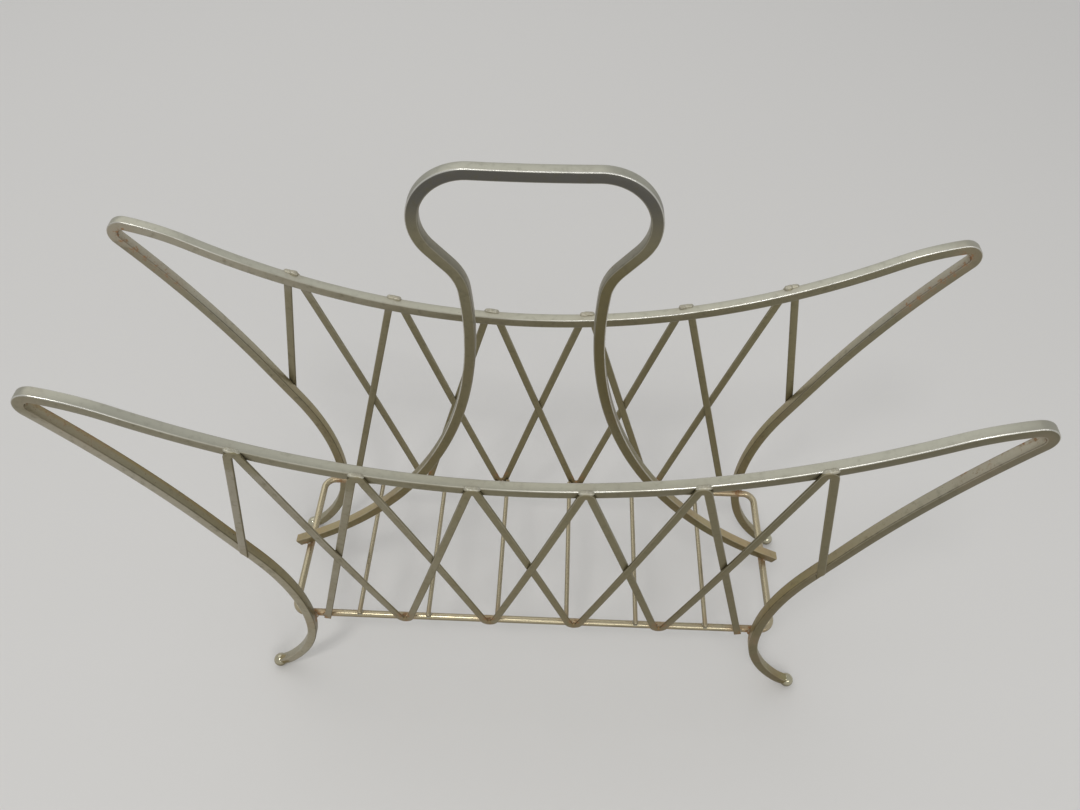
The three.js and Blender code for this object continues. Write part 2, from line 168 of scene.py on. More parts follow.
class BasketFinish(bpy.types.PropertyGroup):
    """Colours and wear of the basket's metal."""

    # Plating is the lit top colour and the next one the shaded side colour: painted light and shade
    # as well as wear.
    plating: colour("Plating", (0.44, 0.43, 0.35), "Worn plating on faces that look up")
    tarnish_and_shade: colour("Tarnish", (0.215, 0.195, 0.125), "Dulled plating on the sides of the bar")
    inner_tarnish: colour("Inner tarnish", (0.50, 0.47, 0.365), "Plating on the bar's inner side")
    # Sides painted paler toward the ends, the left most, as light.
    lit_end_tarnish: colour("End tarnish", (0.40, 0.37, 0.29), "Paler sides towards the left end")
    grip_tarnish: colour("Grip tarnish", (0.117, 0.112, 0.098), "The grip's sides, dark from hands")
    # The strips' side colour, darker partly as painted shade.
    strip_tarnish: colour("Strip tarnish", (0.232, 0.206, 0.12), "Dulled plating on the strips")
    # The strips' sides painted paler toward the left end as light.
    strip_end_tarnish: colour("Strip end tarnish", (0.37, 0.34, 0.27), "Paler strips on the left")
    brass: colour("Brass", (0.50, 0.435, 0.29), "Plating of the base rod and the cross wires")
    # Darker partly as painted shade on the rods' sides and undersides.
    dull_and_shaded_brass: colour("Dull brass", (0.20, 0.165, 0.085), "The same on their sides and undersides")
    # The same bright colour paints the glints on weld metal.
    bright: colour("Bright edge", (0.80, 0.78, 0.72), "Plating rubbed bright along an edge")
    # Dirt and painted shade along an inner edge.
    dirt_and_shade: colour("Grime", (0.085, 0.075, 0.048), "Dirt along an inner edge")
    film: colour("Film", (0.97, 0.81, 0.52), "Tint of the film on the low parts")
    yellow_film: colour("Yellow film", (0.93, 0.85, 0.55), "The same where it is yellower")
    old_gold: colour("Old gold", (0.36, 0.25, 0.08), "Stain along an inner side's far edge")
    rust: colour("Rust", (0.30, 0.155, 0.060), "Rust at a weld")
    old_rust: colour("Old rust", (0.11, 0.062, 0.030), "Dark rust in a pit")
    weld: colour("Weld", (0.45, 0.43, 0.335), "Plated weld metal")
    rust_reach: length("Rust reach", 16.0, "How far rust creeps from a weld")
    rust_amount: share("Rust amount", 0.35, "How much of that reach has rusted through")
    edge_wear: share("Edge wear", 0.7, "How bright the edges are rubbed")


class StageLook(bpy.types.PropertyGroup):
    """Floor and light."""

    floor: colour("Floor", (0.72, 0.705, 0.675), "Plain floor")
    sky: colour("Sky", (0.86, 0.87, 0.89), "Even light from all round")
    sky_strength: share("Sky strength", 0.62, "Strength of the even light")
    overhead_power: power("Overhead power", 5.5, "Large lamp behind")
    window_power: power("Window power", 7.0, "Wide lamp in front")
    ceiling_power: power("Ceiling power", 9.0, "Small lamp above")


def sizes():
    return bpy.context.scene.basket_sizes


def finish():
    return bpy.context.scene.basket_finish


# Centre lines. A place in a plane is a complex number: along the basket, then up.


def unit(heading):
    return cmath.exp(1j * heading)


def arc_shift(radius, heading, turn):
    """The shift along an arc, whose turn is positive to the left."""
    return -1j * math.copysign(radius, turn) * (unit(heading + turn) - unit(heading))


def chord_between(a, b):
    chord = b - a
    return cmath.phase(chord), abs(chord)


def radius_over(chord_length, turn):
    """The radius of an arc that makes a turn over a chord."""
    return chord_length / (2 * math.sin(abs(turn) / 2))


def angle_where_zero(value_at, low, high):
    """Finds where a function of one angle changes sign, by halving the span between two."""
    below = value_at(low) < 0
    for _ in range(HALVINGS):
        middle = (low + high) / 2
        if (value_at(middle) < 0) == below:
            low = middle
        else:
            high = middle
    return (low + high) / 2


class Track:
    """A bent centre line in a plane, as stations with a place and a heading."""

    def __init__(self, place, heading):
        self.places = [place]
        self.headings = [heading]

    def straight(self, run):
        place, heading = self.places[-1], self.headings[-1]
        count = max(1, round(run / STATION_SPACING))
        for k in range(1, count + 1):
            self.places.append(place + unit(heading) * run * k / count)
            self.headings.append(heading)
        return self

    def arc(self, radius, turn):
        place, heading = self.places[-1], self.headings[-1]
        steps = max(abs(turn) / STATION_TURN, radius * abs(turn) / STATION_SPACING)
        count = math.ceil(steps)
        for k in range(1, count + 1):
            part = turn * k / count
            self.places.append(place + arc_shift(radius, heading, part))
            self.headings.append(heading + part)
        return self

    def mirrored(self):
        """The places of a track that starts at mid-length, after those of its mirror image."""
        opposite = [complex(-place.real, place.imag) for place in self.places[:0:-1]]
        return opposite + self.places


class SideFrame:
    """Where the rear side frame's bar lies. The front one is its mirror image."""

    def __init__(self, s):
        self.s = s
        self.half = s.bar_width / 2
        self.rod_outer_y = s.base_width / 2 + s.rod_diameter / 2
        self.y_at_rod = self.rod_outer_y + s.weld_gap + self.half
        self.leg_at_rod = s.base_length / 2 - s.leg_inset
        self.ball = complex(
            self.leg_at_rod + s.foot_splay,
            self.up_the_lean(s.ball_diameter / 2 - s.ball_flat_depth),
        )
        self.track = self.bent_half()

    def up_the_lean(self, height):
        base = self.s.base_height
        return base + (height - base) / math.cos(self.s.frame_lean)

    def rail_half(self, turn):
        """The droop, long radius and reach of half a rail that climbs by a turn."""
        s = self.s
        droop = arc_shift(s.rail_end_radius, turn, -s.rail_end_turn)
        radius = (s.rail_rise - droop.imag) / (1 - math.cos(turn))
        bend = s.tip_radius * math.sin(turn - s.rail_end_turn)
        return droop, radius, radius * math.sin(turn) + droop.real + bend

    def bent_half(self):
        """Half of the bar: rail, tip bend, leg and toe."""
        s = self.s
        tip_reach = s.frame_length / 2 - self.half - s.tip_radius
        rail_turn = angle_where_zero(
            lambda turn: self.rail_half(turn)[2] - tip_reach, math.radians(1), math.radians(89)
        )
        droop, self.rail_radius, _ = self.rail_half(rail_turn)
        tip_heading = rail_turn - s.rail_end_turn
        toe_start = self.ball - unit(-s.toe_slope) * s.toe_straight
        toe_start -= arc_shift(s.toe_radius, -s.toe_slope - s.toe_turn, s.toe_turn)
        on_rod = complex(self.leg_at_rod, s.base_height)
        lower_heading, lower_length = chord_between(on_rod, toe_start)
        lower_end_heading = -s.toe_slope - s.toe_turn
        rod_heading = 2 * lower_heading - lower_end_heading
        lower_turn = lower_end_heading - rod_heading
        middle = complex(0, self.up_the_lean(s.rail_height))
        tip_start = middle + arc_shift(self.rail_radius, 0, rail_turn) + droop

        def upper_leg(heading):
            tip_turn = heading - s.upper_leg_turn - tip_heading
            start = tip_start + arc_shift(s.tip_radius, tip_heading, tip_turn)
            end = on_rod - arc_shift(s.leg_radius, heading, rod_heading - heading)
            return chord_between(start, end - unit(heading) * s.leg_straight)

        straight_heading = angle_where_zero(
            lambda heading: upper_leg(heading)[0] - (heading - s.upper_leg_turn / 2),
            math.radians(-165),
            math.radians(-91),
        )
        upper_radius = radius_over(upper_leg(straight_heading)[1], s.upper_leg_turn)
        return (
            Track(middle, 0)
            .arc(self.rail_radius, rail_turn)
            .arc(s.rail_end_radius, -s.rail_end_turn)
            .arc(s.tip_radius, straight_heading - s.upper_leg_turn - tip_heading)
            .arc(upper_radius, s.upper_leg_turn)
            .straight(s.leg_straight)
            .arc(s.leg_radius, rod_heading - straight_heading)
            .arc(radius_over(lower_length, lower_turn), lower_turn)
            .arc(s.toe_radius, s.toe_turn)
            .straight(s.toe_straight)
        )

    def in_space(self, place):
        """A place in the lean plane, as a point behind the basket's middle."""
        s = self.s
        climb = place.imag - s.base_height
        y = self.y_at_rod + climb * math.sin(s.frame_lean)
        return Vector((place.real, y, s.base_height + climb * math.cos(s.frame_lean)))

    def normal(self):
        return Vector((0, -math.cos(self.s.frame_lean), math.sin(self.s.frame_lean)))

    def rail_centre_height(self, x):
        rise = self.rail_radius - math.sqrt(self.rail_radius**2 - x**2)
        return self.s.rail_height + rise * math.cos(self.s.frame_lean)

    def rail_slope(self, x):
        return math.asin(x / self.rail_radius)

    def outer_y(self, height):
        s = self.s
        climb = (height - s.base_height) * math.tan(s.frame_lean)
        return self.y_at_rod + climb + self.half / math.cos(s.frame_lean)

    def leg_at(self, height):
        """The x and the heading of the leg's centre line at a height."""
        wanted = self.up_the_lean(height)
        for above, below in zip(self.track.places, self.track.places[1:]):
            if above.imag > wanted >= below.imag:
                part = (above.imag - wanted) / (above.imag - below.imag)
                return above.real + part * (below.real - above.real), cmath.phase(below - above)
        raise ValueError("the leg doesn't reach that height")


class Lattice:
    """Where the rear lattice's two strips lie. The second mirrors the first, woven through it."""

    def __init__(self, s, side):
        self.s = s
        self.side = side
        self.half = s.strip_width / 2
        self.bottom = s.base_height - s.strip_drop
        self.last_x = side.leg_at_rod - s.strip_end_inset
        self.bottom_pitch = (self.last_x + s.bottom_bend_radius) / 2.5
        self.low_y = side.rod_outer_y + s.weld_gap + s.strip_thickness / 2
        self.weave = (s.strip_thickness + s.weld_gap) / 2

    def high_y(self, height):
        return self.side.outer_y(height) + self.s.weld_gap + self.s.strip_thickness / 2

    def under_rail(self, x):
        """The height where a strip that stands at x comes clear of the rail's underside."""
        reach = (self.side.half + self.half) / math.cos(self.side.rail_slope(x))
        return self.side.rail_centre_height(x) - reach

    def y_at(self, place, over):
        low = self.s.base_height + self.s.rod_diameter / 2
        top = self.under_rail(place.real)
        part = (place.imag - low) / (top - low)
        if part <= 0:
            return self.low_y
        if part >= 1:
            return self.high_y(place.imag)
        straight = self.low_y + (self.high_y(top) - self.low_y) * part
        return straight + over * self.weave * math.sin(math.pi * part)

    def top_bend(self, places):
        x = places * self.s.lattice_top_pitch
        reach = self.side.half - self.s.top_bend_radius - self.half
        return complex(x, self.side.rail_centre_height(x) + reach), self.s.top_bend_radius, -1

    def bottom_bend(self, places):
        height = self.bottom + self.s.bottom_bend_radius + self.half
        return complex(places * self.bottom_pitch, height), self.s.bottom_bend_radius, 1

    def strut_foot(self):
        """The x, on the left leg, and the heading of that leg where the outermost strip ends."""
        x, heading = self.side.leg_at(self.s.strut_end_height)
        return -x, math.pi - heading

    def zigzag(self, overs):
        """The points of a zigzag from the left leg to the base near the right one, and how its
        first end slides along its run to be cut along the leg. Each run but the first crosses
        one run of the other zigzag, over or under it."""
        foot_x, cut_heading = self.strut_foot()
        stops = [
            (complex(foot_x, self.s.strut_end_height), 0, 0),
            self.top_bend(-2.5),
            self.bottom_bend(-1.5),
            self.top_bend(-0.5),
            self.bottom_bend(0.5),
            self.top_bend(1.5),
            (complex(self.last_x, self.bottom), 0, 0),
        ]
        runs = []
        for (a, a_radius, a_turn), (b, b_radius, b_turn) in zip(stops, stops[1:]):
            heading, chord = chord_between(a, b)
            offset = b_turn * b_radius - a_turn * a_radius
            run = math.sqrt(chord**2 - offset**2)
            runs.append((heading - math.atan2(offset, run), run))
        track = Track(stops[0][0], runs[0][0])
        over_at = [0]
        for k, (heading, run) in enumerate(runs):
            track.straight(run)
            over = overs[k - 1] if k else 0
            over_at += [over] * (len(track.places) - len(over_at))
            if k + 1 < len(runs):
                track.arc(stops[k + 1][1], runs[k + 1][0] - heading)
                over_at += [0] * (len(track.places) - len(over_at))
        first_bend_x = stops[1][0].real - self.s.top_bend_radius
        points = []
        for place, over in zip(track.places, over_at):
            outside = place.real < first_bend_x
            y = self.high_y(place.imag) if outside else self.y_at(place, over)
            points.append(Vector((place.real, y, place.imag)))
        across = runs[0][0] + math.pi / 2
        slide = math.tan(cut_heading - across)
        run_way = unit(runs[0][0])
        return points, Vector((run_way.real, 0, run_way.imag)) * slide


def handle_points(s):
    slope = -s.arm_slope
    lift = s.rod_diameter / 2 + s.weld_gap + s.bar_width / 2
    over_rod = complex(s.base_length / 2, s.base_height) + unit(slope + math.pi / 2) * lift
    arm_end = over_rod - unit(slope) * s.arm_end_straight
    track = (
        Track(complex(0, s.handle_height), 0)
        .arc(s.grip_length / 2 / s.grip_dip, s.grip_dip)
        .arc(s.grip_bend_radius, -s.grip_bend)
        .straight(s.neck_straight)
    )
    neck, neck_heading = track.places[-1], track.headings[-1]

    def arm(heading):
        start = neck + arc_shift(s.neck_radius, neck_heading, heading - neck_heading)
        return chord_between(start, arm_end)

    arm_heading = angle_where_zero(
        lambda heading: arm(heading)[0] - (heading + slope) / 2,
        neck_heading + math.radians(1),
        slope - math.radians(1),
    )
    arm_turn = slope - arm_heading
    track.arc(s.neck_radius, arm_heading - neck_heading)
    track.arc(radius_over(arm(arm_heading)[1], arm_turn), arm_turn)
    track.straight(s.arm_end_straight + s.arm_overhang)
    return [Vector((place.real, 0, place.imag)) for place in track.mirrored()]


def wire_half_length(s):
    return s.base_width / 2 + s.rod_diameter / 2 - s.wire_end_inset


def base_points(s):
    """The points of the base's closed rod, without the first point again at the end."""
    half_x, half_y = s.base_length / 2, s.base_width / 2
    track = Track(complex(s.base_corner_radius - half_x, -half_y), 0)
    for run in (s.base_length, s.base_width) * 2:
        track.straight(run - 2 * s.base_corner_radius)
        track.arc(s.base_corner_radius, math.pi / 2)
    return [Vector((place.real, place.imag, s.base_height)) for place in track.places[:-1]]


# Welds. A bead has a middle, half its size each way, a slope about Y and a share of rust.

# Half a bead's size along, across and up in millimetres, and its share of rust.
STRIP_BEND_BEAD = ((3.2, 1.3, 1.4), 0.8)
STRIP_END_BEAD = ((3.0, 1.3, 1.4), 0.8)
STRUT_BEAD = ((2.6, 0.9, 2.2), 0.5)
LEG_BEAD = ((4.6, 1.6, 2.6), 1.0)
WIRE_BEAD = ((2.3, 1.5, 0.8), 0.55)
WIRE_NUB = ((1.6, 1.0, 1.5), 0.3)
ARM_BEAD = ((2.0, 3.8, 1.3), 0.9)

# A pad where a strip meets the rail: front (-1) or rear (1), how far along, inward and down it
# lies from the rail's outer top edge in millimetres, and the bead.
RAIL_PADS = (
    (-1, (0.0, 0.0, 0.7), ((4.7, 1.7, 1.3), 0.35)),
    (1, (0.6, 0.1, 0.9), ((4.0, 1.8, 2.3), 0.5)),
    (1, (-2.4, 0.5, 0.8), ((2.8, 1.8, 1.7), 0.5)),
)

# The shares of rust inside a tip bend, along the leg's inner edge from one distance below that
# bend to another, and in the bends of the strips over the base.
TIP_RUST, LEG_RUST, BEND_RUST = 1.0, 0.72, 0.9
RUSTY_LEG = (4 * MM, 40 * MM)


def mirrored_in_y(point):
    return Vector((point[0], -point[1], point[2]))


def in_each_corner(x, y, z):
    """A point and its mirror images, each with its way along: left is -1."""
    ways = ((end_way, side_way) for end_way in (-1, 1) for side_way in (-1, 1))
    return [(end_way, Vector((end_way * x, side_way * y, z))) for end_way, side_way in ways]


def weld_beads(s):
    side = SideFrame(s)
    lattice = Lattice(s, side)
    rod_side = side.rod_outer_y + s.weld_gap / 2
    beads = []

    def pair(x, y, z, bead, slope=0.0):
        size, rust = bead
        for end_way in (-1, 1):
            beads.append((Vector((end_way * x, y, z)), Vector(size) * MM, -end_way * slope, rust))

    def four(x, y, z, bead):
        pair(x, -y, z, bead)
        pair(x, y, z, bead)

    for places in (0.5, 1.5, 2.5):
        x = places * s.lattice_top_pitch
        top = side.rail_centre_height(x) + side.half
        edge, slope = side.outer_y(top), side.rail_slope(x)
        for side_way, place, bead in RAIL_PADS:
            along, inward, down = (part * MM for part in place)
            pair(x + along, side_way * (edge - inward), top - down, bead, slope)
    over_rod = s.base_height + 1.6 * MM
    for places in (0.5, 1.5):
        four(places * lattice.bottom_pitch, rod_side, over_rod, STRIP_BEND_BEAD)
    four(lattice.last_x, rod_side, over_rod, STRIP_END_BEAD)
    four(side.leg_at_rod, rod_side, s.base_height, LEG_BEAD)
    foot_x, _ = lattice.strut_foot()
    foot_y = side.outer_y(s.strut_end_height) + s.weld_gap / 2
    four(foot_x, foot_y, s.strut_end_height, STRUT_BEAD)
    rod_top = s.base_height + s.rod_diameter / 2 + s.weld_gap / 2
    for k in range(s.wire_count // 2):
        x = (k + 0.5) * s.wire_pitch
        four(x, s.base_width / 2 - 0.7 * MM, rod_top, WIRE_BEAD)
        four(x, wire_half_length(s) - 0.9 * MM, rod_top + 0.2 * MM, WIRE_NUB)
    on_rod = unit(math.pi / 2 - s.arm_slope) * (s.rod_diameter / 2 + s.weld_gap / 2)
    x, z = s.base_length / 2 + on_rod.real, s.base_height + on_rod.imag
    pair(x, 0, z, ARM_BEAD, -s.arm_slope)
    return beads


def rust_spots(s):
    """The points that rust spreads from, each with its share: the beads, the insides of the tip
    bends, the legs' inner edges below these, and the bends of the strips over the base."""
    side = SideFrame(s)
    lattice = Lattice(s, side)
    spots = [(place, rust) for place, _, _, rust in weld_beads(s)]
    line = side.track.places
    widest = max(line, key=lambda place: place.real)
    start, end = (widest.imag - drop for drop in RUSTY_LEG)
    leg = [place for place in line[line.index(widest) :] if place.imag < start]
    inward = (leg[0] - leg[1]) / abs(leg[0] - leg[1]) * 1j * side.half
    leg = [place for place in leg if place.imag > end][::4]
    rusty = [(widest - s.tip_radius, TIP_RUST)] + [(place + inward, LEG_RUST) for place in leg]
    for place, rust in rusty:
        x, y, z = side.in_space(place)
        spots += [(spot, rust) for _, spot in in_each_corner(x, y - side.half, z)]
    for places in (0.5, 1.5):
        bend = (places * lattice.bottom_pitch, lattice.low_y, s.base_height + 2 * s.strip_width)
        spots += [(spot, BEND_RUST) for _, spot in in_each_corner(*bend)]
    return spots


# Node trees


def math_method(operation, swapped=False):
    """A method that adds a Math node. A reflected operator's values are swapped."""

    def method(self, other):
        values = (other, self) if swapped else (self, other)
        return self.nodes.add("ShaderNodeMath", {"operation": operation}, dict(enumerate(values)))

    return method


class Socket:
    """A node's output. Python's operators on it add Math nodes."""

    def __init__(self, nodes, socket):
        self.nodes = nodes
        self.socket = socket

    __add__ = __radd__ = math_method("ADD")
    __mul__ = __rmul__ = math_method("MULTIPLY")
    __sub__, __rsub__ = math_method("SUBTRACT"), math_method("SUBTRACT", swapped=True)
    __truediv__, __rtruediv__ = math_method("DIVIDE"), math_method("DIVIDE", swapped=True)
    __lt__, __gt__ = math_method("LESS_THAN"), math_method("GREATER_THAN")
    least, most = math_method("MINIMUM"), math_method("MAXIMUM")

    def __abs__(self):
        return self.nodes.add("ShaderNodeMath", {"operation": "ABSOLUTE"}, {0: self})

    def rise(self, low, high):
        """0 up to low, 1 from high on, and a smooth step between them."""
        settings = {"interpolation_type": "SMOOTHSTEP"}
        values = {"Value": self, "From Min": low, "From Max": high}
        return self.nodes.add("ShaderNodeMapRange", settings, values)

    def sibling(self, name):
        """Another output of the same node."""
        return Socket(self.nodes, self.socket.node.outputs[name])


class Nodes:
    """Adds nodes to one tree."""

    def __init__(self, tree):
        self.tree = tree

    def add(self, kind, settings=None, values=None, output=0):
        node = self.tree.nodes.new(kind)
        for name, value in (settings or {}).items():
            setattr(node, name, value)
        for name, value in (values or {}).items():
            if isinstance(value, Socket):
                self.tree.links.new(value.socket, node.inputs[name])
            else:
                node.inputs[name].default_value = value
        return Socket(self, node.outputs[output])

    def part(self, vector, axis):
        return self.add("ShaderNodeSeparateXYZ", None, {"Vector": vector}, axis)

    def scaled(self, vector, factor):
        values = {"Vector": vector, "Scale": factor}
        return self.add("ShaderNodeVectorMath", {"operation": "SCALE"}, values)

    def mix(self, factor, a, b, blend="MIX"):
        """Mixes two colours, each a socket or three numbers."""
        values = {0: factor}
        for slot, value in ((6, a), (7, b)):
            values[slot] = value if isinstance(value, Socket) else (*value, 1.0)
        settings = {"data_type": "RGBA", "blend_type": blend}
        return self.add("ShaderNodeMix", settings, values, 2)

    def attribute(self, name, output):
        """A value that the mesh carries, in a material."""
        return self.add("ShaderNodeAttribute", {"attribute_name": name}, output=output)

    def stored(self, name, kind="FLOAT"):
        """A value that the mesh carries, in Geometry Nodes."""
        settings = {"data_type": kind}
        return self.add("GeometryNodeInputNamedAttribute", settings, {"Name": name}, "Attribute")

    def store(self, geometry, name, value, kind="FLOAT"):
        settings = {"data_type": kind, "domain": "POINT"}
        values = {"Geometry": geometry, "Name": name, "Value": value}
        return self.add("GeometryNodeStoreNamedAttribute", settings, values)

    def moved(self, geometry, offset, **more):
        values = {"Geometry": geometry, "Offset": offset, **more}
        return self.add("GeometryNodeSetPosition", None, values)

    def repeated(self, points, shape, **more):
        """Puts a shape on each point and makes the copies real."""
        values = {"Points": points, "Instance": shape, **more}
        copies = self.add("GeometryNodeInstanceOnPoints", None, values)
        return self.add("GeometryNodeRealizeInstances", None, {"Geometry": copies})

    def squared(self, ball, squareness):
        """Moves a unit ball's points towards the faces of the box round it."""
        place = self.add("GeometryNodeInputPosition")
        sides = [abs(self.part(place, axis)) for axis in "XYZ"]
        widest = sides[0].most(sides[1]).most(sides[2])
        stretch = squareness * (1 / widest.most(0.1) - 1) * 0.9
        return self.moved(ball, self.scaled(place, stretch))

    def rusted(self, geometry, spots, reach):
        """Stores each point's share of rust, from the nearest spot's share and its distance."""
        spots = self.add("GeometryNodeObjectInfo", None, {"Object": spots}, "Geometry")
        settings = {"target_element": "POINTS"}
        distance = self.add("GeometryNodeProximity", settings, {0: spots}, "Distance")
        place = {"Geometry": spots, "Sample Position": self.add("GeometryNodeInputPosition")}
        nearest = self.add("GeometryNodeSampleNearest", {"domain": "POINT"}, place)
        settings = {"data_type": "FLOAT", "domain": "POINT"}
        values = {"Geometry": spots, "Value": self.stored("rust"), "Index": nearest}
        strength = self.add("GeometryNodeSampleIndex", settings, values)
        return self.store(geometry, "rust", strength * (1 - (distance / reach).least(1)))

    def finished(self, geometry, given, sharpest):
        """Rusts a mesh, smooths all but its sharp edges, and ends the tree with it."""
        geometry = self.rusted(geometry, given["Rust Spots"], given["Rust Reach"])
        faces = {"Geometry": geometry, "Shade Smooth": True}
        geometry = self.add("GeometryNodeSetShadeSmooth", {"domain": "FACE"}, faces)
        bend = self.add("GeometryNodeInputMeshEdgeAngle")
        edges = {"Geometry": geometry, "Selection": bend > sharpest, "Shade Smooth": False}
        geometry = self.add("GeometryNodeSetShadeSmooth", {"domain": "EDGE"}, edges)
        dressed = {"Geometry": geometry, "Material": given["Material"]}
        geometry = self.add("GeometryNodeSetMaterial", None, dressed)
        output = self.tree.nodes.new("NodeGroupOutput")
        self.tree.links.new(geometry.socket, output.inputs[0])

    def end_material(self, shader):
        output = self.tree.nodes.new("ShaderNodeOutputMaterial")
        self.tree.links.new(shader.socket, output.inputs["Surface"])


# Edges that bend by more than this stay sharp: on a bar the rims of its cut ends, and on a lump
# none but a fold.
BAR_SHARPNESS = math.radians(35)
LUMP_SHARPNESS = math.radians(60)

FLOAT, VECTOR, INTEGER = "NodeSocketFloat", "NodeSocketVector", "NodeSocketInt"
COMMON_INPUTS = {
    "Rust Spots": "NodeSocketObject",
    "Rust Reach": FLOAT,
    "Material": "NodeSocketMaterial",
}


def geometry_tree(name, inputs):
    """A new tree with named inputs, and those inputs as sockets by name."""
    tree = bpy.data.node_groups.new(name, "GeometryNodeTree")
    inputs = {"Geometry": "NodeSocketGeometry", **inputs, **COMMON_INPUTS}
    for label, kind in inputs.items():
        tree.interface.new_socket(label, in_out="INPUT", socket_type=kind)
    tree.interface.new_socket("Geometry", in_out="OUTPUT", socket_type="NodeSocketGeometry")
    nodes = Nodes(tree)
    first = nodes.add("NodeGroupInput")
    return nodes, {label: first.sibling(label) for label in inputs}


def bent_bar_tree():
    """Sweeps a bar with rounded edges along the piece's own line, and repeats it in a row."""
    inputs = {
        "Depth": FLOAT,
        "Width": FLOAT,
        "Edge Radius": FLOAT,
        "Edge Steps": INTEGER,
        "Depth Way": VECTOR,
        "End Slide": VECTOR,
        "Count": INTEGER,
        "Pitch": FLOAT,
    }
    nodes, given = geometry_tree("bent bar", inputs)
    line = nodes.add("GeometryNodeMeshToCurve", None, {"Mesh": given["Geometry"]})
    facing = {"Curve": line, "Normal": given["Depth Way"]}
    line = nodes.add("GeometryNodeSetCurveNormal", {"mode": "FREE"}, facing)
    line = nodes.store(line, "run", nodes.add("GeometryNodeSplineParameter", output="Length"))
    corners = {"Width": given["Depth"], "Height": given["Width"]}
    outline = nodes.add("GeometryNodeCurvePrimitiveQuadrilateral", {"mode": "RECTANGLE"}, corners)
    edges = {
        "Curve": outline,
        "Count": given["Edge Steps"],
        "Radius": given["Edge Radius"],
        "Limit Radius": True,
    }
    outline = nodes.add("GeometryNodeFilletCurve", {"mode": "POLY"}, edges)
    place = nodes.add("GeometryNodeInputPosition")
    outline = nodes.store(outline, "section", place, "FLOAT_VECTOR")
    swept = {
        "Curve": line,
        "Profile Curve": outline,
        "Scale": 1 - nodes.stored("taper"),
        "Fill Caps": True,
    }
    bar = nodes.add("GeometryNodeCurveToMesh", None, swept)
    across = nodes.part(nodes.stored("section", "FLOAT_VECTOR"), "Y")
    first_end = nodes.stored("run") < STATION_SPACING / 2
    bar = nodes.moved(bar, nodes.scaled(given["End Slide"], across), Selection=first_end)
    way = nodes.add("ShaderNodeCombineXYZ", None, {"X": given["Pitch"]})
    first = nodes.scaled(way, (1 - given["Count"]) / 2)
    row = {"Count": given["Count"], "Start Location": first, "Offset": way}
    row = nodes.add("GeometryNodeMeshLine", {"mode": "OFFSET"}, row)
    nodes.finished(nodes.repeated(row, bar), given, BAR_SHARPNESS)
    return nodes.tree


def lump_tree():
    """Puts a rippled ellipsoid, turned and sized by the point's own attributes, on each point."""
    inputs = {
        "Rings": INTEGER,
        "Squareness": FLOAT,
        "Ripple": FLOAT,
        "Ripple Scale": FLOAT,
        "Seed": FLOAT,
    }
    nodes, given = geometry_tree("lump", inputs)
    ball = {"Segments": given["Rings"] * 2, "Rings": given["Rings"], "Radius": 1.0}
    ball = nodes.add("GeometryNodeMeshUVSphere", None, ball)
    ball = nodes.squared(ball, given["Squareness"])
    turn = {0: nodes.stored("turn", "FLOAT_VECTOR")}
    turn = nodes.add("FunctionNodeEulerToRotation", None, turn)
    size = nodes.stored("size", "FLOAT_VECTOR")
    lumps = nodes.repeated(given["Geometry"], ball, Rotation=turn, Scale=size)
    wave = {"W": given["Seed"], "Scale": given["Ripple Scale"], "Detail": 1.0}
    wave = nodes.add("ShaderNodeTexNoise", {"noise_dimensions": "4D"}, wave)
    out = nodes.add("GeometryNodeInputNormal")
    lumps = nodes.moved(lumps, nodes.scaled(out, (wave - 0.5) * given["Ripple"]))
    height = nodes.part(nodes.add("GeometryNodeInputPosition"), "Z")
    lift = nodes.add("ShaderNodeCombineXYZ", None, {"Z": (0 - height).most(0)})
    nodes.finished(nodes.moved(lumps, lift), given, LUMP_SHARPNESS)
    return nodes.tree


# Finishes

# Noise by name: patches to the metre, detail and roughness.
TEXTURES = {
    "cloud": (45.0, 3.0, 0.55),
    "mottle": (260.0, 4.0, 0.62),
    "crust": (520.0, 5.0, 0.68),
    "speck": (900.0, 2.0, 0.5),
    "glitter": (1100.0, 2.0, 0.55),
    "grain": (1400.0, 2.0, 0.55),
}

# Where the finish changes: each pair is the start and the end of a change.

# Across a bar's section, in shares of the way from its middle to a face.
INNER_SIDE = (0.70, 0.92)
CORNER = (0.76, 0.90)
NEAR_HALF = (-0.7, 0.8)
FAR_HALF = (-0.8, 0.1)

# To the right of the basket's middle, or behind it from front to rear.
FRONT_TO_REAR = (-10 * MM, 10 * MM)
RIGHT_PART = (-50 * MM, 150 * MM)
LEFT_PART = (0.0, 150 * MM)
# The rail's outer edge is painted darker over the left half, but for the tip.
SHADED_RAIL_EDGE = (-40 * MM, 40 * MM)
LEFT_TIP = (160 * MM, 230 * MM)
RIGHT_NECK = (0.0, 25 * MM)
# The paler ends are painted light.
PALE_MIDDLE = 130 * MM
PALE_PART = (120 * MM, 360 * MM)
PALE_RAGGEDNESS = 150 * MM

# Over the floor. The rail's are under its centre line, and the grip's are shares of the handle's
# height.
ARM = (130 * MM, 180 * MM)
NECK_START = (220 * MM, 270 * MM)
NECK_END = (350 * MM, 380 * MM)
GRIP = (0.90, 0.98)
RAIL = (14 * MM, 6 * MM)
# Inner sides are painted darker below these heights, as shade.
DARK_INSIDE = (100 * MM, 270 * MM)
DARKEST_INSIDE = (90 * MM, 150 * MM)
STAINED_INSIDE = (120 * MM, 200 * MM)
RUBBED = (100 * MM, 250 * MM)
TINTED_BAR = 306 * MM
TINTED_HANDLE = 400 * MM

# How some tones depart from a finish's own colours.
GOLDEN_TOP = (1.21, 1.12, 1.09)
GOLDEN_SIDE = (0.76, 0.72, 0.58)
# The darker inner tone low down is painted shade.
LOW_INSIDE = (0.60, 0.57, 0.45)


def toned(shade, *factors):
    """A colour times one factor, or times three."""
    return tuple(part * factor for part, factor in zip(shade, factors * 3))


def new_material(name):
    material = bpy.data.materials.new(name)
    material.use_nodes = True
    material.node_tree.nodes.clear()
    return material, Nodes(material.node_tree)


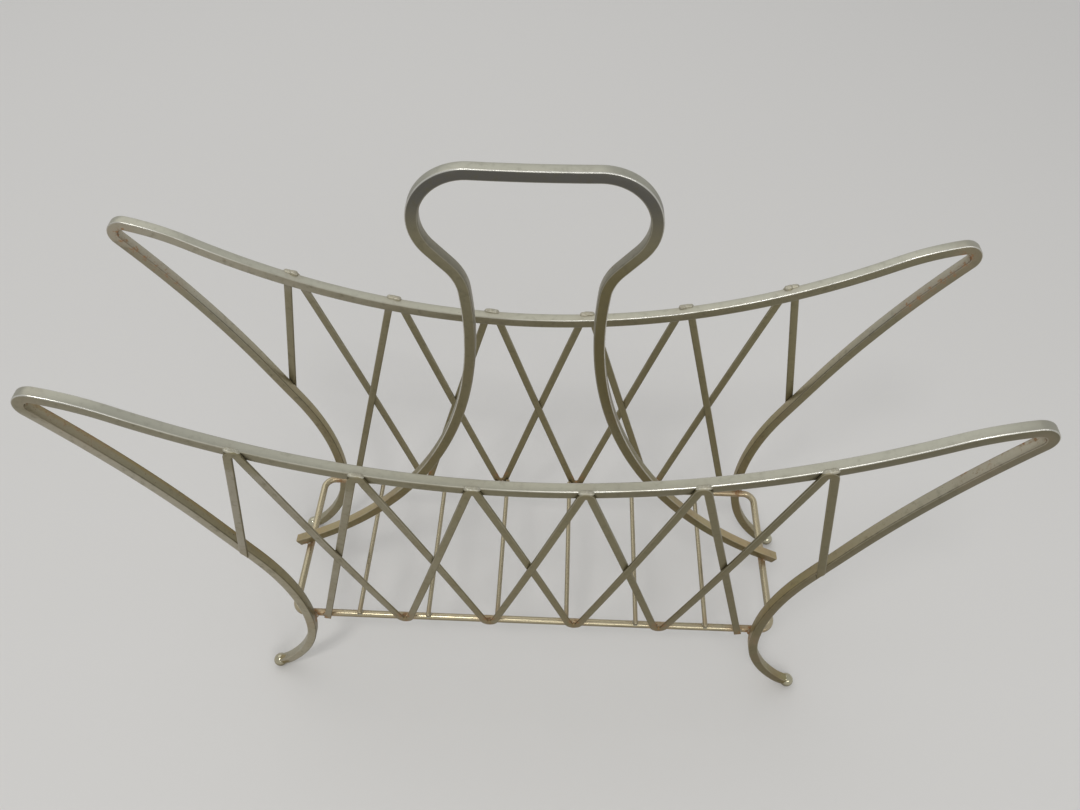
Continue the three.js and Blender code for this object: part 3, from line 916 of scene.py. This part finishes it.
class Metal(NamedTuple):
    """What sets one plated finish apart from the others."""

    # top and side are lit and shaded copies of one plating: painted light and shade as well as
    # wear.
    top: tuple
    side: tuple
    inner: tuple
    # end is the side colour painted paler toward the ends as light.
    end: tuple
    high: tuple
    half_depth: float
    half_width: float
    roughness: float = 0.38
    pits: float = 0.05
    mottling: float = 1.0
    film: float = 0.0
    stain: float = 0.3
    # sparkle is the share of painted glints on weld metal.
    sparkle: float = 0.0
    paling: float = 0.0
    tinted_to: float = TINTED_BAR
    wear: float = 1.0
    # How dark the line of dirt and painted shade along the inner edges is.
    dirt_and_shade: float = 1.0
    gilding: float = 0.0
    # Where the lighter top colour, which is painted light, begins, by how much a face looks up.
    lit_and_clean_from: float = 0.05


class PlatedFinish:
    """Dulled plating: lighter on top and darker down the sides, partly as painted light and shade,
    and paler toward the ends as painted light; tinted low down, bright along the worn outer edges,
    darkened along the inner ones with dirt and painted shade, pitted, and rusted round the welds."""

    def __init__(self, name, kind):
        self.kind, self.look, self.s = kind, finish(), sizes()
        self.material, self.nodes = new_material(name)
        self.mix = self.nodes.mix
        self.place = self.nodes.add("ShaderNodeTexCoord", output="Object")
        self.cloud, self.mottle = self.texture("cloud"), self.texture("mottle")
        self.along = self.nodes.part(self.place, "X")
        self.height = self.along.sibling("Z")
        across = self.nodes.part(self.nodes.attribute("section", "Vector"), "X")
        self.depth = across / kind.half_depth
        width = across.sibling("Y") / kind.half_width
        self.inner = width.rise(*INNER_SIDE)
        self.corner = abs(self.depth).least(abs(width)).rise(*CORNER)
        self.place_zones()
        shade = self.mix(self.inner, self.outer_shade(), self.inner_shade())
        self.end_with(self.rusted(self.worn(self.filmed(shade))))

    def texture(self, name):
        scale, detail, roughness = TEXTURES[name]
        values = {"Vector": self.place, "Scale": scale, "Detail": detail, "Roughness": roughness}
        return self.nodes.add("ShaderNodeTexNoise", None, values, "Fac")

    def place_zones(self):
        """Finds how far a point is on the rail, in front, in a paler end, which is painted light,
        right, left, and on a face that looks up, which is painted lighter as light and is less
        dirty.
        """
        s, kind, along, height = self.s, self.kind, self.along, self.height
        rail_curve = s.rail_rise / (s.frame_length / 2) ** 2
        levelled = height - along * along * rail_curve
        self.on_rail = levelled.rise(*(s.rail_height - depth for depth in RAIL))
        self.in_front = 1 - along.sibling("Y").rise(*FRONT_TO_REAR)
        # Sides are painted paler toward the ends, the left most, as light.
        ragged = abs(along - PALE_MIDDLE) + (self.cloud - 0.5) * PALE_RAGGEDNESS
        paler = 0.35 + abs(self.on_rail - self.in_front) * 0.65
        self.painted_end_light = ragged.rise(*PALE_PART) * paler * kind.paling
        # On the right front, sides are painted darker as shade and inner sides lighter as light.
        self.to_right = along.rise(*RIGHT_PART) * self.in_front * 0.8
        self.to_left = (0 - along).rise(*LEFT_PART) * self.in_front * 0.75
        upward = self.nodes.part(self.nodes.add("ShaderNodeNewGeometry", output="Normal"), "Z")
        # Faces that look up take the lighter top colour: painted light, and less dirt.
        lit_and_clean = (upward + (self.cloud - 0.5) * 0.4).rise(kind.lit_and_clean_from, kind.lit_and_clean_from + 0.8)
        # Faces that look up are darker low down, more so on the left front.
        darker_low = (1 - height.rise(0, s.base_height)) * (self.to_left * 0.3 + 0.35) * kind.paling
        self.lit_and_clean = lit_and_clean * (1 - darker_low)

    def outer_shade(self):
        """The shade of faces that look up, down or out."""
        kind, height, mix = self.kind, self.height, self.mix
        # Paler sides toward the ends: painted light.
        side = mix(self.painted_end_light, kind.side, kind.end)
        # Darker sides on the right front: painted shade.
        side = mix(self.to_right, side, toned(kind.side, 0.76))
        grip = height.rise(*(part * self.s.handle_height for part in GRIP))
        side = mix(grip, side, kind.high)
        neck = self.along.rise(*RIGHT_NECK) * height.rise(*NECK_START) * kind.gilding
        neck = neck * (1 - height.rise(*NECK_END))
        side = mix(neck, side, toned(kind.side, *GOLDEN_SIDE))
        # Tops a little lighter at the rear than in front: painted reflection.
        top = mix(self.in_front, toned(kind.top, 1.06), toned(kind.top, 0.97))
        arm = (1 - height.rise(*ARM)) * kind.gilding
        top = mix(arm, top, toned(kind.top, *GOLDEN_TOP))
        # The lighter top colour where a face looks up and the darker side colour elsewhere: painted
        # light and shade.
        return mix(self.lit_and_clean, side, top)

    def inner_shade(self):
        """The colour of a bar's inner side: lighter on the right front as painted light, darker low
        down and most on the left front as painted shade, stained along its far edge on the front
        left leg.
        """
        kind, height, mix = self.kind, self.height, self.mix
        shade = mix(self.depth.rise(*NEAR_HALF), kind.inner, toned(kind.inner, 0.85))
        # Lighter inner sides on the right front: painted light.
        shade = mix(self.to_right, shade, toned(kind.inner, 1.1))
        # Darker low down, and lowest on the left front: painted shade.
        low = toned(kind.inner, *LOW_INSIDE)
        shade = mix(height.rise(*DARK_INSIDE) * (1 - self.to_left), low, shade)
        lowest = (1 - height.rise(*DARKEST_INSIDE)) * self.to_left * kind.wear
        shade = mix(lowest, shade, toned(low, 0.62))
        far = 1 - self.depth.rise(*FAR_HALF)
        stained = height.rise(*STAINED_INSIDE) * (self.cloud + 0.3) * kind.wear
        return mix(far * self.to_left * stained, shade, self.look.old_gold)

    def filmed(self, shade):
        """Dulls a shade in patches and tints it low down."""
        kind, look, mix = self.kind, self.look, self.mix
        dull = self.mottle.rise(0.50, 0.78) * (0.55 - self.lit_and_clean * 0.35) * kind.mottling
        shade = mix(dull, shade, toned(kind.side, 0.62))
        low = 1 - self.height.rise(self.s.base_height, kind.tinted_to)
        film = low * (1 - self.painted_end_light * 0.85) * (0.75 + self.in_front * 0.25) * kind.film
        tint = mix(self.cloud.rise(0.35, 0.65), look.film, look.yellow_film)
        return mix(1.0, shade, mix(film, (1.0, 1.0, 1.0), tint), "MULTIPLY")

    def worn(self, shade):
        """Rubs the outer edges bright, and darkens the inner ones with dirt and painted shade."""
        kind, look, mix = self.kind, self.look, self.mix
        wear = (0.2 + self.height.rise(*RUBBED) * 0.8) * look.edge_wear * kind.wear
        rubbed = self.corner * (1 - self.inner) * self.cloud.rise(0.20, 0.55) * wear
        # Over the left half of the rail, but for the tip, the outer edge is darkened and roughened:
        # painted shade that dims the lamps' highlight there.
        leftward = 0 - self.along
        dulled = self.corner * self.on_rail * leftward.rise(*SHADED_RAIL_EDGE) * kind.paling
        self.dulled = dulled * (1 - leftward.rise(*LEFT_TIP))
        self.rubbed = rubbed * (1 - self.dulled * 0.7)
        # Weld metal's glitter paints glints, taken in with the rubbed edges.
        if kind.sparkle:
            glitter = self.texture("glitter").rise(0.50, 0.62) * kind.sparkle
            self.rubbed = self.rubbed.most(glitter)
        shade = mix(self.rubbed, shade, look.bright)
        # Painted shade on that edge.
        shade = mix(self.dulled * 0.4, shade, kind.side)
        # A dark line along the inner edges: painted shade and dark reflection, with some dirt.
        dirt_and_shade_line = self.corner * self.inner * (0.45 + self.mottle * 0.5) * kind.dirt_and_shade
        return mix(dirt_and_shade_line, shade, look.dirt_and_shade)

    def rusted(self, shade):
        """Spreads rust from the welds, and pits the rest."""
        kind, look, mix = self.kind, self.look, self.mix
        near = self.nodes.attribute("rust", "Fac") * (1 - self.rubbed * 0.8)
        spread = (near + (self.cloud - 0.5) * 0.6).rise(0.10, 0.75)
        self.stained = spread * near.rise(0.0, 0.1) * kind.stain
        shade = mix(self.stained, shade, mix(0.45, look.rust, kind.top))
        crust = self.texture("crust")
        through = near + (crust - 0.5)
        through = through.rise(0.95 - look.rust_amount, 1.15 - look.rust_amount)
        speck = self.texture("speck") + (self.cloud - 0.5) * 0.25 + self.inner * 0.07
        pitted = speck.rise(0.80 - kind.pits, 0.86 - kind.pits) * 0.8
        self.rust = (through * near.rise(0.25, 0.45)).most(pitted)
        return mix(self.rust, shade, mix(crust.rise(0.38, 0.62), look.old_rust, look.rust))

    def end_with(self, shade):
        """Sets the roughness and the relief, and ends the material."""
        kind, mottle, grain = self.kind, self.mottle, self.texture("grain")
        rough = kind.roughness + (mottle - 0.5) * 0.20 * kind.mottling + (grain - 0.5) * 0.08
        rough = rough + self.stained * 0.15 - self.rubbed * 0.18 + self.dulled * 0.2
        relief = mottle * 0.5 * kind.mottling + grain * 0.15 + self.rust * 0.5
        bump = {"Strength": 0.22, "Distance": 0.25 * MM, "Height": relief}
        surface = {
            "Base Color": shade,
            "Metallic": 0.85 - self.rust * 0.75,
            "Roughness": rough + (0.85 - rough) * self.rust,
            "Normal": self.nodes.add("ShaderNodeBump", None, bump),
        }
        self.nodes.end_material(self.nodes.add("ShaderNodeBsdfPrincipled", None, surface))


def metal(name):
    """The named finish, made when it is first asked for."""
    if name in bpy.data.materials:
        return bpy.data.materials[name]
    s, look = sizes(), finish()
    # Top and side colours are lit and shaded copies of one plating: painted light and shade.
    top, side, inner, strip = look.plating, look.tarnish_and_shade, look.inner_tarnish, look.strip_tarnish
    sides = (side,) * 4
    # A strip's top is its side colour painted lighter as light.
    strips = (toned(strip, 1.3), strip, strip, look.strip_end_tarnish, strip)
    brass = (look.brass, *(look.dull_and_shaded_brass,) * 4)
    thin_brass = [toned(shade, 0.86) for shade in brass]
    bar = (s.bar_width / 2, s.bar_width / 2)
    flat = (s.strip_thickness / 2, s.strip_width / 2)
    # These halves are larger than any round piece's, so that it has no inner side and no edges.
    no_edges = (s.ball_diameter, s.ball_diameter)
    # Rods and wires keep the lighter top colour down to their undersides, which stay darker as
    # painted shade.
    brassy = {"pits": 0.03, "stain": 0.8, "lit_and_clean_from": -0.1}
    kinds = {
        "dulled bar": Metal(top, side, inner, look.lit_end_tarnish, side, *bar, film=1.0, paling=1.0),
        "handle bar": Metal(
            *(top, side, toned(inner, 0.62), side, look.grip_tarnish),
            *bar,
            film=1.0,
            dirt_and_shade=0.2,
            tinted_to=TINTED_HANDLE,
            gilding=1.0,
        ),
        "dulled strip": Metal(
            *strips, *flat, roughness=0.42, film=0.4, wear=0.3, dirt_and_shade=0.3, paling=1.0
        ),
        "brassy rod": Metal(*brass, *no_edges, roughness=0.23, mottling=0.2, **brassy),
        "brassy wire": Metal(*thin_brass, *no_edges, roughness=0.28, mottling=0.3, **brassy),
        "dulled ball": Metal(
            *(toned(top, 1.15), *sides, *no_edges),
            roughness=0.17,
            pits=0.03,
            mottling=0.1,
            film=0.4,
            lit_and_clean_from=-0.2,
        ),
        "dulled toe": Metal(toned(top, 0.85), *sides, *no_edges, film=1.0),
        "weld metal": Metal(
            *(look.weld, *sides, *no_edges),
            roughness=0.50,
            pits=0.10,
            sparkle=0.25,
            lit_and_clean_from=-0.7,
        ),
    }
    return PlatedFinish(name, kinds[name]).material


# Making pieces


def tree_named(name, build):
    return bpy.data.node_groups.get(name) or build()


def new_object(name, data):
    made = bpy.data.objects.new(name, data)
    bpy.context.scene.collection.objects.link(made)
    return made


def line_object(name, points, closed=False, values=None):
    """A mesh of bare points, joined in a line if closed isn't None, with values on its points."""
    count = len(points)
    edges = []
    if closed is not None:
        edges = [(k, (k + 1) % count) for k in range(count if closed else count - 1)]
    mesh = bpy.data.meshes.new(name)
    mesh.from_pydata([tuple(point) for point in points], edges, [])
    for label, numbers in (values or {}).items():
        flat = isinstance(numbers[0], float)
        kind, field = ("FLOAT", "value") if flat else ("FLOAT_VECTOR", "vector")
        attribute = mesh.attributes.new(label, kind, "POINT")
        row = numbers if flat else [part for number in numbers for part in number]
        attribute.data.foreach_set(field, row)
    return new_object(name, mesh)


def made_with(piece, tree, material, values):
    """Runs a tree on a piece and keeps the result as the piece's plain mesh."""
    places, shares = zip(*rust_spots(sizes()))
    spots = line_object("rust spots", places, None, {"rust": shares})
    modifier = piece.modifiers.new(tree.name, "NODES")
    modifier.node_group = tree
    sockets = {
        item.name: item.identifier
        for item in tree.interface.items_tree
        if item.item_type == "SOCKET" and item.in_out == "INPUT"
    }
    common = {"Rust Spots": spots, "Rust Reach": finish().rust_reach, "Material": metal(material)}
    for label, value in {**values, **common}.items():
        modifier[sockets[label]] = value
    depsgraph = bpy.context.evaluated_depsgraph_get()
    mesh = bpy.data.meshes.new_from_object(
        piece.evaluated_get(depsgraph), preserve_all_data_layers=True, depsgraph=depsgraph
    )
    if not mesh.polygons:
        raise RuntimeError(f"{piece.name} came out empty")
    piece.modifiers.clear()
    piece.data = mesh
    mesh.name = piece.name
    bpy.data.objects.remove(spots)
    return piece


def fitted(piece, slot, *nodes):
    """Parents a finished piece to the root body, and hides the nodes that it stands in for."""
    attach(piece, "root")
    if nodes:
        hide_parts(*nodes)


def square_section(s):
    return s.bar_width, s.bar_width, s.bar_edge, 3


def strip_section(s):
    return s.strip_thickness, s.strip_width, s.strip_thickness / 5, 2


def round_section(diameter, steps):
    """A section so rounded that it is round, but for a short flat that keeps its edges apart."""
    return diameter, diameter, diameter * 0.49, steps


def bent_piece(name, points, section, way, material, closed=False, values=None, **more):
    """A bar of a section (depth, width, edge radius, edge steps) along points."""
    depth, width, edge, steps = section
    inputs = {
        "Depth": depth,
        "Width": width,
        "Edge Radius": edge,
        "Edge Steps": steps,
        "Depth Way": tuple(float(part) for part in way),
        "End Slide": (0.0, 0.0, 0.0),
        "Count": 1,
        "Pitch": 0.0,
        **{label.replace("_", " ").title(): value for label, value in more.items()},
    }
    piece = line_object(name, points, closed, values)
    return made_with(piece, tree_named("bent bar", bent_bar_tree), material, inputs)


def lumps(name, beads, material, rings, ripple, ripple_scale, seed, squareness=0.0):
    """Rounded lumps with a little ripple. Its scale is in waves to the metre."""
    values = {
        "size": [tuple(size) for _, size, _, _ in beads],
        "turn": [(0.0, slope, 0.0) for _, _, slope, _ in beads],
    }
    inputs = {
        "Rings": rings,
        "Squareness": squareness,
        "Ripple": ripple,
        "Ripple Scale": ripple_scale,
        "Seed": seed,
    }
    piece = line_object(name, [place for place, _, _, _ in beads], None, values)
    return made_with(piece, tree_named("lump", lump_tree), material, inputs)


# Making the stage


def add_floor(look):
    mesh = bpy.data.meshes.new("floor")
    corners = [(x * FLOOR_HALF, y * FLOOR_HALF, 0) for x, y in FLOOR_CORNERS]
    mesh.from_pydata(corners, [], [(0, 1, 2, 3)])
    material, nodes = new_material("floor paint")
    paint = {"Base Color": (*look.floor, 1.0), "Roughness": 0.75}
    nodes.end_material(nodes.add("ShaderNodeBsdfPrincipled", None, paint))
    mesh.materials.append(material)
    new_object("floor", mesh)


def add_light(look):
    """Even light from all round, and the lamps."""
    world = bpy.data.worlds.new("even light")
    world.use_nodes = True
    sky = world.node_tree.nodes["Background"].inputs
    sky["Color"].default_value = (*look.sky, 1.0)
    sky["Strength"].default_value = look.sky_strength
    bpy.context.scene.world = world
    for name, (place, (across, along)) in LAMPS.items():
        lamp = bpy.data.lights.new(name, "AREA")
        lamp.shape = "RECTANGLE"
        lamp.size, lamp.size_y = across, along
        lamp.energy = getattr(look, f"{name}_power")
        turn = (-Vector(place)).to_track_quat("-Z", "Y").to_matrix().to_4x4()
        new_object(name, lamp).matrix_world = Matrix.Translation(place) @ turn


def add_camera():
    camera = bpy.data.cameras.new("camera")
    camera.sensor_width, camera.lens, camera.clip_start = SENSOR_WIDTH, CAMERA_LENS, NEAR_CLIP
    azimuth, drop, roll = map(math.radians, CAMERA_ANGLES)
    level = Vector((math.sin(azimuth), math.cos(azimuth), 0))
    forward = level * math.cos(drop) - Vector((0, 0, math.sin(drop)))
    across = forward.cross(Vector((0, 0, 1))).normalized()
    upright = across.cross(forward)
    right = across * math.cos(roll) + upright * math.sin(roll)
    up = upright * math.cos(roll) - across * math.sin(roll)
    columns = (right, up, -forward, Vector(CAMERA_PLACE) * MM)
    rows = [[column[row] for column in columns] for row in range(3)]
    seen_from = new_object("camera", camera)
    seen_from.matrix_world = Matrix([*rows, (0, 0, 0, 1)])
    bpy.context.scene.camera = seen_from


# Operators


class BASKET_OT_side_frames(bpy.types.Operator):
    """Bend the two side frames out of square bar"""

    bl_idname = "basket.side_frames"
    bl_label = "Side Frames"

    def execute(self, context):
        s = sizes()
        side = SideFrame(s)
        rear = [side.in_space(place) for place in side.track.mirrored()]
        front = [mirrored_in_y(point) for point in rear]
        ways = side.normal(), -mirrored_in_y(side.normal())
        for name, points, way in zip(("rear", "front"), (rear, front), ways):
            bar = (f"{name}_bar", points, square_section(s), way, "dulled bar")
            fitted(bent_piece(*bar), "plated_bar", f"{name}_side_frame")
        return {"FINISHED"}


class BASKET_OT_lattice(bpy.types.Operator):
    """Bend the four zigzag strips and lay them on the side frames"""

    bl_idname = "basket.lattice"
    bl_label = "Lattice Strips"

    def execute(self, context):
        s = sizes()
        lattice = Lattice(s, SideFrame(s))
        for zigzag, end_way, overs in WEAVES:
            points, slide = lattice.zigzag(overs)
            slide = (end_way * slide.x, 0.0, slide.z)
            for name, side_way in (("rear", 1), ("front", -1)):
                placed = [Vector((end_way * p.x, side_way * p.y, p.z)) for p in points]
                strip = (f"{name}_{zigzag}_strip", placed, strip_section(s), (0, -end_way, 0))
                piece = bent_piece(*strip, "dulled strip", end_slide=slide)
                fitted(piece, "plated_strip", f"{name}_lattice_{zigzag}_zigzag")
        return {"FINISHED"}


class BASKET_OT_foot_balls(bpy.types.Operator):
    """Set a ball on the end of each leg"""

    bl_idname = "basket.foot_balls"
    bl_label = "Foot Balls"

    def execute(self, context):
        s = sizes()
        side = SideFrame(s)
        radius = s.ball_diameter / 2
        made = []
        for back, length, thickness in FOOT_LUMPS:
            size = Vector((length, thickness, thickness)) * radius
            place = side.in_space(side.ball - unit(-s.toe_slope) * back * radius)
            for end_way, middle in in_each_corner(*place):
                made.append((middle, size, end_way * s.toe_slope, 0.0))
        balls, necks = ("foot_balls", made[:4]), ("toe_necks", made[4:])
        nodes = [f"{y}_{x}_foot_ball" for y in ("rear", "front") for x in ("left", "right")]
        looks = {"rings": 20, "ripple": 0.12 * MM, "ripple_scale": 300.0, "seed": 3.0}
        fitted(lumps(*necks, "dulled toe", **looks), "plated_bar")
        looks = {"rings": 24, "ripple": 0.08 * MM, "ripple_scale": 300.0, "seed": 2.0}
        fitted(lumps(*balls, "dulled ball", **looks), "plated_ball", *nodes)
        return {"FINISHED"}


class BASKET_OT_base_ring(bpy.types.Operator):
    """Bend the base's closed ring of round rod"""

    bl_idname = "basket.base_ring"
    bl_label = "Base Ring"

    def execute(self, context):
        s = sizes()
        ring = ("base_ring", base_points(s), round_section(s.rod_diameter, 6), (0, 0, 1))
        fitted(bent_piece(*ring, "brassy rod", closed=True), "plated_rod", "base_frame")
        return {"FINISHED"}


class BASKET_OT_cross_wires(bpy.types.Operator):
    """Lay the cross wires over the base ring"""

    bl_idname = "basket.cross_wires"
    bl_label = "Cross Wires"

    def execute(self, context):
        s = sizes()
        half = wire_half_length(s)
        height = s.base_height + s.rod_diameter / 2 + s.weld_gap + s.wire_diameter / 2
        count = round(2 * half / STATION_SPACING)
        inner = half - s.wire_end_chamfer
        ys = [-half, *(inner * (2 * k / count - 1) for k in range(count + 1)), half]
        points = [Vector((0, y, height)) for y in ys]
        taper = [0.0] * len(ys)
        taper[0] = taper[-1] = 2 * s.wire_end_chamfer / s.wire_diameter
        wires = ("cross_wires", points, round_section(s.wire_diameter, 4), (0, 0, 1))
        row = {"count": s.wire_count, "pitch": s.wire_pitch}
        piece = bent_piece(*wires, "brassy wire", values={"taper": taper}, **row)
        nodes = [f"base_cross_wire_{k + 1}" for k in range(s.wire_count)]
        fitted(piece, "plated_rod", *nodes)
        return {"FINISHED"}


class BASKET_OT_handle(bpy.types.Operator):
    """Bend the carry handle out of square bar"""

    bl_idname = "basket.handle"
    bl_label = "Carry Handle"

    def execute(self, context):
        s = sizes()
        handle = ("handle_bar", handle_points(s), square_section(s), (0, -1, 0), "handle bar")
        fitted(bent_piece(*handle), "plated_bar", "carry_handle")
        return {"FINISHED"}


class BASKET_OT_welds(bpy.types.Operator):
    """Run a bead of weld over each joint"""

    bl_idname = "basket.welds"
    bl_label = "Weld Beads"

    def execute(self, context):
        beads = ("weld_beads", weld_beads(sizes()), "weld metal")
        looks = {"rings": 14, "ripple": 0.6 * MM, "ripple_scale": 420.0, "seed": 5.0}
        fitted(lumps(*beads, squareness=0.3, **looks), "plated_bar")
        return {"FINISHED"}


class BASKET_OT_stage(bpy.types.Operator):
    """Set the floor, the light and the camera"""

    bl_idname = "basket.stage"
    bl_label = "Stage"

    def execute(self, context):
        context.scene.view_settings.view_transform = "Standard"
        look = context.scene.basket_stage
        add_floor(look)
        add_light(look)
        add_camera()
        return {"FINISHED"}


BUILDERS = (
    BASKET_OT_side_frames,
    BASKET_OT_lattice,
    BASKET_OT_foot_balls,
    BASKET_OT_base_ring,
    BASKET_OT_cross_wires,
    BASKET_OT_handle,
    BASKET_OT_welds,
    BASKET_OT_stage,
)


class BASKET_PT_build(bpy.types.Panel):
    """Sizes, colours and pieces of the basket"""

    bl_idname = "BASKET_PT_build"
    bl_label = "Magazine Basket"
    bl_space_type = "VIEW_3D"
    bl_region_type = "UI"
    bl_category = "Basket"

    def draw(self, context):
        layout = self.layout
        for builder in BUILDERS:
            layout.operator(builder.bl_idname)
        scene = context.scene
        for group in (scene.basket_sizes, scene.basket_finish, scene.basket_stage):
            box = layout.box()
            for name in group.bl_rna.properties.keys():
                if name not in ("rna_type", "name"):
                    box.prop(group, name)


GROUPS = {"basket_sizes": BasketSizes, "basket_finish": BasketFinish, "basket_stage": StageLook}


def register():
    for group in (*GROUPS.values(), *BUILDERS, BASKET_PT_build):
        bpy.utils.register_class(group)
    for name, group in GROUPS.items():
        setattr(bpy.types.Scene, name, bpy.props.PointerProperty(type=group))


def unregister():
    for name in GROUPS:
        delattr(bpy.types.Scene, name)
    for group in (BASKET_PT_build, *reversed(BUILDERS), *GROUPS.values()):
        bpy.utils.unregister_class(group)


def main():
    register()
    for builder in BUILDERS:
        area, name = builder.bl_idname.split(".")
        getattr(getattr(bpy.ops, area), name)()


if __name__ == "__main__":
    main()
